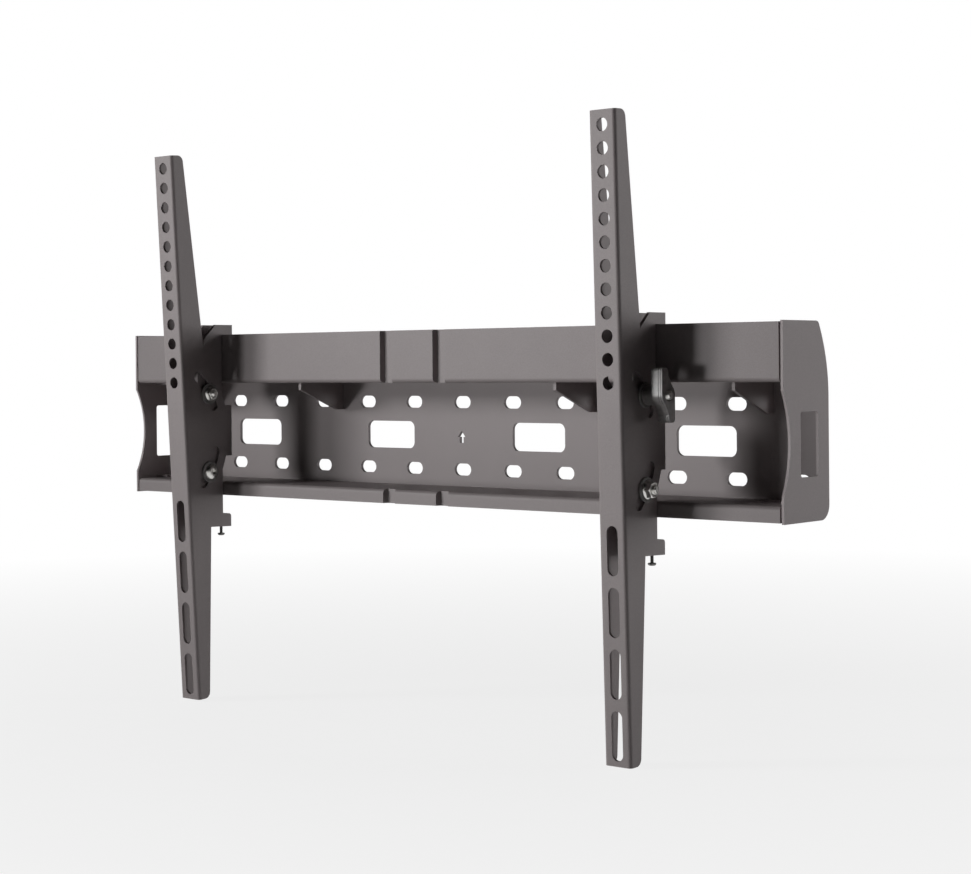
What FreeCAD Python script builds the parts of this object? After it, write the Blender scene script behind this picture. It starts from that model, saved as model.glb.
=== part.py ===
import FreeCAD, Part
import math
import os
import Sketcher

# Tilting wall mount for a flat screen: a folded steel rail is screwed to the wall, and two
# slotted arms hang on its upper band. Each arm tilts on two arc slots whose common centre
# lies in front of the mount, inside the screen. Millimetres, X right, Y into the wall, Z up.
# The origin is the centre of the rail's rear face, the face that meets the wall.

DRIVING_SIZES = [
    ("railLength", 610.6, "length of the folded rail"),
    ("railDepth", 54.7, "wall to the front of the band"),
    ("railHeight", 126, "top of the band to the tip of the lip"),
    ("railSheet", 2.5, "steel of the rail"),
    ("bandHeight", 38, "upright band above the upper flange"),
    ("lipHeight", 10.4, "lip below the lower flange's upper face"),
    ("bendRadius", 3, "outer radius of the rail's folds"),
    ("grooveApart", 51.5, "between the two pressed grooves"),
    ("bandGroovePlace", 2.8, "pair of grooves in the band, left of the middle"),
    ("lipGroovePlace", 0.7, "pair of grooves in the lip, left of the middle"),
    ("grooveWide", 11.5, "mouth of a groove"),
    ("grooveDeep", 3.6, "depth of a groove"),
    ("grooveSlope", 1.5, "run of a groove's side wall"),
    ("holePitch", 48, "between columns of wall holes"),
    ("holeColumns", 13, "columns of wall holes"),
    ("holeLong", 16, "length of a wall hole"),
    ("holeHigh", 9, "height of a wall hole"),
    ("upperRow", 10, "upper row of wall holes above the rail's middle"),
    ("lowerRow", 40, "lower row of wall holes below the rail's middle"),
    ("windowWide", 48, "width of a window"),
    ("windowHigh", 20.6, "height of a window"),
    ("windowDrop", 15, "middle of the windows below the rail's middle"),
    ("windowRound", 5, "corner radius of a window"),
    ("markWide", 7, "width of the centre mark"),
    ("markHigh", 9, "height of the centre mark"),
    ("markPlace", 0.9, "centre mark left of the middle"),
    ("markDrop", 15.8, "middle of the mark below the rail's middle"),
    ("gussetSheet", 2.5, "steel of a gusset"),
    ("gussetInner", 123.5, "inner gussets from the middle"),
    ("gussetInset", 37.3, "outer gussets inside the rail's ends"),
    ("gussetFront", 5.8, "gusset's front corner behind the band's face"),
    ("gussetNose", 5.3, "height of a gusset's front edge"),
    ("gussetDrop", 21.2, "height of a gusset at the back plate"),
    ("gussetToe", 7, "level stretch at the gusset's foot"),
    ("gussetCorner", 1, "corner cut clear of the fold"),
    ("capSheet", 1.8, "steel of an end cap"),
    ("capGap", 1.3, "slit between rail end and cap"),
    ("capProud", 0.8, "cap beyond the rail's top and tip"),
    ("capCrown", 12, "cap's sloping shoulder, set back at the top"),
    ("capShoulder", 25.8, "height of the sloping shoulder"),
    ("capRound", 100, "radius where the shoulder starts"),
    ("capHeel", 10, "lower rear corner radius of a cap"),
    ("capNose", 4, "upper corner radius of a cap"),
    ("capHollow", 73, "radius of the hollow front edge"),
    ("capHollowFront", 65, "centre of that radius ahead of the band"),
    ("capWindowFront", 20.3, "cap window behind the band's face"),
    ("capWindowDeep", 21.3, "cap window from front to back"),
    ("capWindowHigh", 41.6, "height of the cap window"),
    ("capWindowDrop", 14.6, "middle of the cap window below the middle"),
    ("capWindowRound", 2, "corner radius of the cap window"),
    ("tabLong", 11.5, "cap tab into the rail"),
    ("tabFront", 20, "cap tab behind the band's face"),
    ("tabDeep", 22, "cap tab from front to back"),
    ("leftPlace", 212, "left arm from the middle"),
    ("rightPlace", 204.4, "right arm from the middle"),
    ("leftTilt", 3.2, "rest tilt of the left arm, degrees"),
    ("rightTilt", 1.6, "rest tilt of the right arm, degrees"),
    ("armWidth", 21, "face width of an arm"),
    ("armSheet", 2, "steel of an arm"),
    ("armAbove", 212.4, "arm above the tilt centre"),
    ("armBelow", 208.8, "arm below the tilt centre"),
    ("armEndDeep", 11, "depth of an arm at its ends"),
    ("armMidDeep", 27.4, "depth of the straight tapers where they meet"),
    ("armBend", 2.5, "outer radius of an arm's folds"),
    ("armCorner", 5, "rear corner radius at an arm's ends"),
    ("pivotReach", 66.5, "tilt centre ahead of the band"),
    ("pivotDrop", 13.5, "tilt centre below the rail's middle"),
    ("pivotFront", 25.65, "tilt centre ahead of the arm's face"),
    ("bulgeRadius", 70, "radius of the arm's rounded back"),
    ("slotRadius", 58.5, "radius of the arc slots"),
    ("slotSpread", 31.4, "middle of each arc slot from level, degrees"),
    ("slotTravel", 13.4, "arc slot each side of its middle, degrees"),
    ("screenHoles", 12, "round holes down the face"),
    ("screenPitch", 15, "between the round holes"),
    ("screenBore", 8.7, "round hole and slot width"),
    ("firstHole", 9.6, "first round hole below the arm's top"),
    ("screenSlots", 4, "long slots down the face"),
    ("firstSlot", 266.1, "top of the first long slot below the arm's top"),
    ("screenSlotLong", 32.25, "length of a long slot"),
    ("screenSlotPitch", 39.75, "between the long slots"),
    ("hangerSheet", 2.5, "steel of a hanger"),
    ("hangerFit", 0.25, "hanger side to arm wall"),
    ("bandFit", 0.8, "hanger's rear edge ahead of the band"),
    ("hookFit", 0.5, "hook behind the band's rear face"),
    ("seatFit", 0.05, "hook above the band's edge"),
    ("hookReach", 10.4, "hook behind the band's face"),
    ("hookRise", 7.7, "hook above the band"),
    ("hookDrop", 16, "hook below the band's edge"),
    ("hangerFront", 26, "hanger ahead of the band"),
    ("hangerFrontTop", 36, "top of the hanger's front web"),
    ("hangerFrontFoot", 63, "foot of the hanger's front web, below the middle"),
    ("noseFront", 17.3, "hanger's upper corner ahead of the band"),
    ("noseDrop", 2, "that corner below the band's edge"),
    ("crownFront", 7, "front of the hook's top edge ahead of the band"),
    ("tongueReach", 9.1, "tongue behind the band's face"),
    ("tongueTop", 17.4, "tongue below the upper flange"),
    ("tongueFoot", 20.4, "tongue above the lower flange"),
    ("footDrop", 14.8, "foot below the lip"),
    ("footHigh", 10.2, "height of the foot"),
    ("footReach", 7.8, "foot behind the band's face"),
    ("footFront", 19, "front of the foot ahead of the band"),
    ("footSlope", 0.8, "rise of the foot's lower edge to the front"),
    ("footWebFront", 6, "foot web ahead of the band"),
    ("footRound", 2.2, "upper rear corner radius of the foot"),
    ("pinDiameter", 8, "shank of a tilt pin"),
    ("pinFit", 0.05, "radial clearance round a pin"),
    ("threadDiameter", 6, "threaded end of a pin"),
    ("headDiameter", 11.4, "domed head of the lower pin"),
    ("headRim", 1.2, "upright rim of that head"),
    ("headDome", 2, "height of its dome above the rim"),
    ("headCrown", 6.6, "flat crown of the dome"),
    ("washerDiameter", 16.4, "friction washer beside an arm"),
    ("washerThick", 1.5, "thickness of that washer"),
    ("washerFit", 0.1, "washer to the arm's side"),
    ("nutAcross", 10, "across flats of a flange nut"),
    ("nutHigh", 5.4, "height of a flange nut"),
    ("nutFlange", 12.4, "flange of that nut"),
    ("nutFlangeThick", 1.2, "thickness of the nut's flange"),
    ("threadProud", 2.2, "thread beyond the nut"),
    ("stubDiameter", 5, "inner thread of the upper pin"),
    ("stubNutAcross", 8, "across flats of the inner nut"),
    ("stubNutHigh", 4.2, "height of the inner nut"),
    ("stubNutFlange", 11.2, "flange of the inner nut"),
    ("stubProud", 1.8, "thread beyond the inner nut"),
    ("knobLong", 35.5, "length of the clamp knob over its wings"),
    ("knobWide", 16, "diameter of the boss, and width over both wings"),
    ("knobThick", 9.6, "thickness of boss and wings"),
    ("wingWide", 7.9, "width of a wing at its tip"),
    ("wingShoulder", 3.4, "height over the middle where a wing's slanted side ends"),
    ("wingRound", 2.4, "corner radius of the wings"),
    ("hubDiameter", 13, "hub of the knob"),
    ("hubLong", 9.3, "hub from washer to wings"),
    ("lockDiameter", 2.5, "shank of the locking screw"),
    ("lockReach", 4.5, "locking screw behind the band's face"),
    ("lockTip", 6, "tip of the screw above the lip's edge"),
    ("lockHang", 5.6, "screw head below the foot"),
    ("lockHead", 5.6, "diameter of the screw's head"),
    ("lockHeadHigh", 1.8, "height of the screw's head"),
]

doc = FreeCAD.newDocument("tilting_wall_mount")
sheet = doc.addObject("Spreadsheet::Sheet", "Sizes")
for row, (alias, value, meaning) in enumerate(DRIVING_SIZES, start=1):
    sheet.set(f"A{row}", alias)
    sheet.set(f"B{row}", str(value))
    sheet.set(f"C{row}", meaning)
    sheet.setAlias(f"B{row}", alias)
doc.recompute()
ALIASES = {alias for alias, _, _ in DRIVING_SIZES}


def formula(text):
    """Turn a formula in plain size names into one that names the sheet."""
    parts = []
    word = ""
    for letter in text + " ":
        if letter.isalnum():
            word += letter
            continue
        parts.append(f"Sizes.{word}" if word in ALIASES else word)
        parts.append(letter)
        word = ""
    return "".join(parts).strip()


def number(text):
    """The value of a formula, for the first guess of a sketch's geometry."""
    return float(sheet.evalExpression(formula(text)))


# Places that several pieces share, as formulas in the sheet's names
TOP = "(railHeight / 2)"
BAND_FOOT = "(railHeight / 2 - bandHeight)"
FLOOR = "(lipHeight - railHeight / 2)"
BOTTOM = "(-railHeight / 2)"
BACK = "(railDepth - railSheet)"
PIN_Y = "(slotRadius * cos(slotSpread * 1 deg) - pivotReach)"
PIN_RISE = "(slotRadius * sin(slotSpread * 1 deg))"
PIN_BORE = "(pinDiameter / 2 + pinFit)"
HANGER_HALF = "(armWidth / 2 - armSheet - hangerFit)"
CHEEK_INSIDE = "(armWidth / 2 - armSheet - hangerFit - hangerSheet)"
WASHER_INSIDE = "(armWidth / 2 + washerFit)"
WASHER_OUTSIDE = "(armWidth / 2 + washerFit + washerThick)"
FOOT_TOP = "(-railHeight / 2 - footDrop)"
FOOT_BOTTOM = "(-railHeight / 2 - footDrop - footHigh)"
OUTER_NUT = ("threadDiameter", "nutAcross", "nutHigh", "nutFlange")
STUB_NUT = ("stubDiameter", "stubNutAcross", "stubNutHigh", "stubNutFlange")


def bind(item, path, text):
    item.setExpression(path, formula(text))


def place(item, across, depth, height, turn=None, axis=FreeCAD.Vector(1, 0, 0)):
    """Set a finished sub-part in the mount's frame; depth counts from the band's face."""
    if turn is not None:
        item.Placement = FreeCAD.Placement(FreeCAD.Vector(), FreeCAD.Rotation(axis, 1))
        bind(item, "Placement.Rotation.Angle", turn)
    bind(item, "Placement.Base.x", across)
    bind(item, "Placement.Base.y", f"{depth} - railDepth")
    bind(item, "Placement.Base.z", height)


def origin_item(body, role):
    return [item for item in body.Origin.OriginFeatures if item.Role == role][0]


def new_sketch(body, name, role, lift=None):
    """A sketch on one of the body's origin planes, lifted along its normal."""
    sketch = body.newObject("Sketcher::SketchObject", name)
    sketch.AttachmentSupport = [(origin_item(body, role), "")]
    sketch.MapMode = "FlatFace"
    if lift is not None:
        bind(sketch, "AttachmentOffset.Base.z", lift)
    return sketch


def fix_point(sketch, geometry, vertex, point):
    """Hold one point of a sketch at two formulas from the sketch's origin."""
    for kind, text in zip(("DistanceX", "DistanceY"), point):
        held = sketch.addConstraint(Sketcher.Constraint(kind, -1, 1, geometry, vertex, number(text)))
        bind(sketch, f"Constraints[{held}]", text)


def hold_radius(sketch, geometry, text):
    held = sketch.addConstraint(Sketcher.Constraint("Radius", geometry, number(text)))
    bind(sketch, f"Constraints[{held}]", text)


def vector(point):
    return FreeCAD.Vector(number(point[0]), number(point[1]), 0)


def polygon(sketch, corners):
    """A closed outline through corners, each a pair of formulas."""
    spots = [vector(corner) for corner in corners]
    first = len(sketch.Geometry)
    count = len(spots)
    for step in range(count):
        sketch.addGeometry(Part.LineSegment(spots[step], spots[(step + 1) % count]))
    for step in range(count):
        follower = first + (step + 1) % count
        sketch.addConstraint(Sketcher.Constraint("Coincident", first + step, 2, follower, 1))
        fix_point(sketch, first + step, 1, corners[step])


def rounded(sketch, centres, radius):
    """Arcs of one radius about the centres, joined by tangent lines: a slot or a rounded window."""
    spots = [vector(centre) for centre in centres]
    reach = number(radius)
    count = len(spots)
    first = len(sketch.Geometry)
    headings = []
    for step in range(count):
        along = spots[(step + 1) % count] - spots[step]
        headings.append(math.atan2(along.y, along.x))
    for step in range(count):
        start = headings[step - 1] - math.pi / 2
        end = headings[step] - math.pi / 2
        while end <= start:
            end += 2 * math.pi
        ring = Part.Circle(spots[step], FreeCAD.Vector(0, 0, 1), reach)
        sketch.addGeometry(Part.ArcOfCircle(ring, start, end))
    for step in range(count):
        heading = headings[step] - math.pi / 2
        side = FreeCAD.Vector(math.cos(heading), math.sin(heading), 0) * reach
        sketch.addGeometry(Part.LineSegment(spots[step] + side, spots[(step + 1) % count] + side))
    for step in range(count):
        line = first + count + step
        sketch.addConstraint(Sketcher.Constraint("Tangent", first + step, 2, line, 1))
        follower = first + (step + 1) % count
        sketch.addConstraint(Sketcher.Constraint("Tangent", line, 2, follower, 1))
    for step in range(count):
        fix_point(sketch, first + step, 3, centres[step])
        hold_radius(sketch, first + step, radius)


def circle(sketch, centre, radius):
    ring = sketch.addGeometry(Part.Circle(vector(centre), FreeCAD.Vector(0, 0, 1), number(radius)))
    fix_point(sketch, ring, 3, centre)
    hold_radius(sketch, ring, radius)


def arc_slot(sketch, radius, half_width, low, high):
    """A slot along an arc about the sketch's origin, between two angles in degrees."""
    first = len(sketch.Geometry)
    middle = number(radius)
    reach = number(half_width)
    low_angle = math.radians(number(low))
    high_angle = math.radians(number(high))
    up = FreeCAD.Vector(0, 0, 1)
    home = FreeCAD.Vector(0, 0, 0)
    low_end = FreeCAD.Vector(math.cos(low_angle), math.sin(low_angle), 0) * middle
    high_end = FreeCAD.Vector(math.cos(high_angle), math.sin(high_angle), 0) * middle
    outer = Part.Circle(home, up, middle + reach)
    inner = Part.Circle(home, up, middle - reach)
    sketch.addGeometry(Part.ArcOfCircle(outer, low_angle, high_angle))
    sketch.addGeometry(Part.ArcOfCircle(Part.Circle(high_end, up, reach), high_angle, high_angle + math.pi))
    sketch.addGeometry(Part.ArcOfCircle(inner, low_angle, high_angle))
    low_round = Part.Circle(low_end, up, reach)
    sketch.addGeometry(Part.ArcOfCircle(low_round, low_angle + math.pi, low_angle + 2 * math.pi))
    sketch.addConstraint(Sketcher.Constraint("Coincident", first, 3, -1, 1))
    sketch.addConstraint(Sketcher.Constraint("Tangent", first, 2, first + 1, 1))
    sketch.addConstraint(Sketcher.Constraint("Tangent", first + 1, 2, first + 2, 2))
    sketch.addConstraint(Sketcher.Constraint("Tangent", first + 2, 1, first + 3, 1))
    sketch.addConstraint(Sketcher.Constraint("Tangent", first + 3, 2, first, 1))
    hold_radius(sketch, first, f"{radius} + {half_width}")
    hold_radius(sketch, first + 1, half_width)
    hold_radius(sketch, first + 2, f"{radius} - {half_width}")
    hold_radius(sketch, first + 3, half_width)
    for geometry, angle in ((first + 1, high), (first + 3, low)):
        text = f"{radius} * sin(({angle}) * 1 deg)"
        held = sketch.addConstraint(Sketcher.Constraint("DistanceY", -1, 1, geometry, 3, number(text)))
        bind(sketch, f"Constraints[{held}]", text)


def pad(body, sketch, length, both=False, back=False):
    feature = body.newObject("PartDesign::Pad", sketch.Name.replace("outline", "pad"))
    feature.Profile = sketch
    feature.SideType = "Symmetric" if both else "One side"
    feature.Reversed = back
    bind(feature, "Length", length)
    sketch.Visibility = False
    return feature


def pocket(body, sketch, length=None, back=False):
    """Cut a sketch's outline away: right through both ways, or to a length."""
    feature = body.newObject("PartDesign::Pocket", sketch.Name.replace("outline", "pocket"))
    feature.Profile = sketch
    if length is None:
        feature.SideType = "Two sides"
        feature.Type = "ThroughAll"
        feature.Type2 = "ThroughAll"
    else:
        feature.Reversed = back
        bind(feature, "Length", length)
    sketch.Visibility = False
    return feature


def repeat(body, feature, sketch, axis, length, count):
    """Repeat a feature in a row along an axis of its sketch."""
    row = body.newObject("PartDesign::LinearPattern", f"{feature.Name}_row")
    row.Originals = [feature]
    row.Direction = (sketch, [axis])
    bind(row, "Length", length)
    bind(row, "Occurrences", count)
    body.Tip = row
    return row


def edges_along(shape, axis, spots):
    """Names of the straight edges along an axis that pass through one of the spots."""
    names = []
    for index, edge in enumerate(shape.Edges, start=1):
        if not isinstance(edge.Curve, Part.Line):
            continue
        run = edge.Vertexes[-1].Point - edge.Vertexes[0].Point
        if abs(abs(run.normalize()[axis]) - 1) > 1e-6:
            continue
        point = edge.Vertexes[0].Point
        flat = [point[step] for step in range(3) if step != axis]
        if any(abs(flat[0] - spot.x) < 0.01 and abs(flat[1] - spot.y) < 0.01 for spot in spots):
            names.append(f"Edge{index}")
    return names


def fillet(body, name, axis, corners, radius):
    """Round the edges along an axis at the corners, each a pair of formulas."""
    doc.recompute()
    base = body.Tip
    names = edges_along(base.Shape, axis, [vector(corner) for corner in corners])
    feature = body.newObject("PartDesign::Fillet", name)
    feature.Base = (base, names)
    bind(feature, "Radius", radius)
    return feature


def new_body(label):
    body = doc.addObject("PartDesign::Body", label)
    body.Label = label
    return body


# The folded rail with its wall holes, windows and pressed grooves

def groove(body, name, centre, level, length, upward):
    """One pressed groove: sheet added behind the face, then the groove sunk into the face."""
    run = "railSheet * sqrt(grooveSlope * grooveSlope + grooveDeep * grooveDeep) / grooveDeep"
    near = f"(grooveWide / 2 - grooveSlope * railSheet / grooveDeep + {run})"
    far = f"(grooveWide / 2 - grooveSlope * (grooveDeep + railSheet) / grooveDeep + {run})"
    behind = new_sketch(body, f"{name}_back_outline", "XY_Plane", level)
    polygon(behind, [
        (f"{centre} - {near}", "railSheet"),
        (f"{centre} + {near}", "railSheet"),
        (f"{centre} + {far}", "grooveDeep + railSheet"),
        (f"{centre} - {far}", "grooveDeep + railSheet"),
    ])
    pad(body, behind, f"{length} - railSheet", back=not upward)
    mouth = new_sketch(body, f"{name}_outline", "XY_Plane", level)
    polygon(mouth, [
        (f"{centre} - grooveWide / 2", "0"),
        (f"{centre} + grooveWide / 2", "0"),
        (f"{centre} + grooveWide / 2 - grooveSlope", "grooveDeep"),
        (f"{centre} - grooveWide / 2 + grooveSlope", "grooveDeep"),
    ])
    pocket(body, mouth, length, back=upward)


def make_wall_channel():
    body = new_body("wall_channel")
    section = new_sketch(body, "section_outline", "YZ_Plane")
    front_fold = ("0", BAND_FOOT)
    rear_fold = ("railDepth", f"{BAND_FOOT} + railSheet")
    floor_fold = ("railDepth", f"{FLOOR} - railSheet")
    lip_fold = ("0", FLOOR)
    front_crease = ("railSheet", f"{BAND_FOOT} + railSheet")
    rear_crease = (BACK, BAND_FOOT)
    floor_crease = (BACK, FLOOR)
    lip_crease = ("railSheet", f"{FLOOR} - railSheet")
    polygon(section, [
        front_fold, ("0", TOP), ("railSheet", TOP), front_crease, rear_fold, floor_fold,
        lip_crease, ("railSheet", BOTTOM), ("0", BOTTOM), lip_fold, floor_crease, rear_crease,
    ])
    pad(body, section, "railLength", both=True)
    fillet(body, "folds", 0, [front_fold, rear_fold, floor_fold, lip_fold], "bendRadius")
    creases = [front_crease, rear_crease, floor_crease, lip_crease]
    fillet(body, "creases", 0, creases, "bendRadius - railSheet")
    for name, side in (("left", "-"), ("right", "")):
        in_band = f"({side}grooveApart / 2 - bandGroovePlace)"
        groove(body, f"{name}_band_groove", in_band, TOP, "bandHeight", upward=False)
        in_lip = f"({side}grooveApart / 2 - lipGroovePlace)"
        groove(body, f"{name}_lip_groove", in_lip, BOTTOM, "lipHeight", upward=True)
    holes = new_sketch(body, "wall_hole_outline", "XZ_Plane")
    first_column = "(-holePitch * (holeColumns - 1) / 2)"
    half_slot = "(holeLong / 2 - holeHigh / 2)"
    for row in ("upperRow", "(-lowerRow)"):
        ends = [(f"{first_column} - {half_slot}", row), (f"{first_column} + {half_slot}", row)]
        rounded(holes, ends, "holeHigh / 2")
    cut = pocket(body, holes)
    repeat(body, cut, holes, "H_Axis", "holePitch * (holeColumns - 1)", "holeColumns")
    windows = new_sketch(body, "window_outline", "XZ_Plane")
    for column in (-4.5, -1.5, 1.5, 4.5):
        right = f"({column} * holePitch + windowWide / 2 - windowRound)"
        left = f"({column} * holePitch - windowWide / 2 + windowRound)"
        upper = "(windowHigh / 2 - windowDrop - windowRound)"
        lower = "(windowRound - windowHigh / 2 - windowDrop)"
        rounded(windows, [(left, lower), (right, lower), (right, upper), (left, upper)], "windowRound")
    pocket(body, windows)
    mark = new_sketch(body, "mark_outline", "XZ_Plane")
    polygon(mark, [
        ("-markPlace - markWide / 2", "-markDrop"),
        ("-markPlace - markWide / 4", "-markDrop"),
        ("-markPlace - markWide / 4", "-markDrop - markHigh / 2"),
        ("-markPlace + markWide / 4", "-markDrop - markHigh / 2"),
        ("-markPlace + markWide / 4", "-markDrop"),
        ("-markPlace + markWide / 2", "-markDrop"),
        ("-markPlace", "-markDrop + markHigh / 2"),
    ])
    pocket(body, mark)
    place(body, "0", "0", "0")
    return body


# Tapered gussets under the rail's upper flange

def make_gusset(label, across):
    body = new_body(label)
    outline = new_sketch(body, f"{label}_outline", "YZ_Plane")
    polygon(outline, [
        ("gussetFront", BAND_FOOT),
        (f"{BACK} - gussetCorner", BAND_FOOT),
        (BACK, f"{BAND_FOOT} - gussetCorner"),
        (BACK, f"{BAND_FOOT} - gussetDrop"),
        (f"{BACK} - gussetToe", f"{BAND_FOOT} - gussetDrop"),
        ("gussetFront", f"{BAND_FOOT} - gussetNose"),
    ])
    pad(body, outline, "gussetSheet", both=True)
    place(body, across, "0", "0")
    return body


# End caps: a plate with a hollow front edge and a window, held by two tabs inside the rail

def make_end_cap(label, right):
    body = new_body(label)
    rear = "railDepth"
    roof = f"({TOP} + capProud)"
    ground = f"({BOTTOM} - capProud)"
    heel = (rear, ground)
    nose = (f"{rear} - capCrown", roof)
    shoulder = (rear, f"{roof} - capShoulder")
    plate = new_sketch(body, f"{label}_outline", "YZ_Plane")
    polygon(plate, [("0", ground), heel, shoulder, nose, ("0", roof)])
    pad(body, plate, "capSheet", back=not right)
    fillet(body, f"{label}_shoulder", 0, [shoulder], "capRound")
    fillet(body, f"{label}_heel", 0, [heel], "capHeel")
    fillet(body, f"{label}_nose", 0, [nose], "capNose")
    hollow = new_sketch(body, f"{label}_hollow_outline", "YZ_Plane")
    circle(hollow, ("-capHollowFront", "-pivotDrop"), "capHollow")
    pocket(body, hollow)
    window = new_sketch(body, f"{label}_window_outline", "YZ_Plane")
    front = "(capWindowFront + capWindowRound)"
    back = "(capWindowFront + capWindowDeep - capWindowRound)"
    low = "(capWindowRound - capWindowDrop - capWindowHigh / 2)"
    high = "(capWindowHigh / 2 - capWindowDrop - capWindowRound)"
    rounded(window, [(front, low), (back, low), (back, high), (front, high)], "capWindowRound")
    pocket(body, window)
    tabs = new_sketch(body, f"{label}_tabs_outline", "YZ_Plane")
    for low, high in ((f"{BAND_FOOT} - capSheet", BAND_FOOT), (FLOOR, f"{FLOOR} + capSheet")):
        polygon(tabs, [
            ("tabFront", low), ("tabFront + tabDeep", low),
            ("tabFront + tabDeep", high), ("tabFront", high),
        ])
    pad(body, tabs, "tabLong + capGap", back=right)
    edge = "(railLength / 2 + capGap)"
    place(body, edge if right else f"-{edge}", "0", "0")
    return body


# Arms: a folded channel with a tapered side wall that swells to an arc about the tilt centre

def make_arm(label, across, tilt):
    body = new_body(label)
    middle = "((armAbove - armBelow) / 2)"
    end_depth = "(pivotFront + armEndDeep)"
    side = new_sketch(body, f"{label}_outline", "YZ_Plane")
    polygon(side, [
        ("pivotFront", "armAbove"), ("pivotFront", "-armBelow"), (end_depth, "-armBelow"),
        ("pivotFront + armMidDeep", middle), (end_depth, "armAbove"),
    ])
    pad(body, side, "armWidth", both=True)
    swell = new_sketch(body, f"{label}_swell_outline", "YZ_Plane")
    chord = "(pivotFront + armEndDeep)"
    reach = number("bulgeRadius")
    half = math.acos(number(chord) / reach)
    ring = Part.Circle(FreeCAD.Vector(0, 0, 0), FreeCAD.Vector(0, 0, 1), reach)
    swell.addGeometry(Part.ArcOfCircle(ring, -half, half))
    foot = FreeCAD.Vector(number(chord), -reach * math.sin(half), 0)
    head = FreeCAD.Vector(number(chord), reach * math.sin(half), 0)
    swell.addGeometry(Part.LineSegment(head, foot))
    swell.addConstraint(Sketcher.Constraint("Coincident", 0, 3, -1, 1))
    swell.addConstraint(Sketcher.Constraint("Coincident", 0, 2, 1, 1))
    swell.addConstraint(Sketcher.Constraint("Coincident", 1, 2, 0, 1))
    swell.addConstraint(Sketcher.Constraint("Vertical", 1))
    hold_radius(swell, 0, "bulgeRadius")
    held = swell.addConstraint(Sketcher.Constraint("DistanceX", -1, 1, 1, 1, number(chord)))
    bind(swell, f"Constraints[{held}]", chord)
    pad(body, swell, "armWidth", both=True)
    hollow = new_sketch(body, f"{label}_hollow_outline", "XY_Plane")
    wall = "(armWidth / 2 - armSheet)"
    inside = "(pivotFront + armSheet)"
    beyond = "(bulgeRadius + armSheet)"
    polygon(hollow, [(f"-{wall}", inside), (wall, inside), (wall, beyond), (f"-{wall}", beyond)])
    pocket(body, hollow)
    folds = [("-armWidth / 2", "pivotFront"), ("armWidth / 2", "pivotFront")]
    fillet(body, f"{label}_folds", 2, folds, "armBend")
    creases = [(f"-{wall}", inside), (wall, inside)]
    fillet(body, f"{label}_creases", 2, creases, "armBend - armSheet")
    corners = [(end_depth, "armAbove"), (end_depth, "-armBelow")]
    fillet(body, f"{label}_corners", 0, corners, "armCorner")
    holes = new_sketch(body, f"{label}_hole_outline", "XZ_Plane")
    circle(holes, ("0", "armAbove - firstHole - screenPitch * (screenHoles - 1)"), "screenBore / 2")
    cut = pocket(body, holes)
    repeat(body, cut, holes, "V_Axis", "screenPitch * (screenHoles - 1)", "screenHoles")
    slots = new_sketch(body, f"{label}_slot_outline", "XZ_Plane")
    lowest = "(armAbove - firstSlot - screenSlotPitch * (screenSlots - 1))"
    slot_ends = [("0", f"{lowest} - screenSlotLong + screenBore / 2"), ("0", f"{lowest} - screenBore / 2")]
    rounded(slots, slot_ends, "screenBore / 2")
    cut = pocket(body, slots)
    repeat(body, cut, slots, "V_Axis", "screenSlotPitch * (screenSlots - 1)", "screenSlots")
    tracks = new_sketch(body, f"{label}_track_outline", "YZ_Plane")
    for spread in ("slotSpread", "(-slotSpread)"):
        arc_slot(tracks, "slotRadius", PIN_BORE, f"{spread} - slotTravel", f"{spread} + slotTravel")
    pocket(body, tracks)
    place(body, across, "-pivotReach", "-pivotDrop", turn=f"{tilt} * 1 deg")
    return body


# Hangers: a folded bracket with two cheeks that hooks over the band and carries the arm

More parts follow.
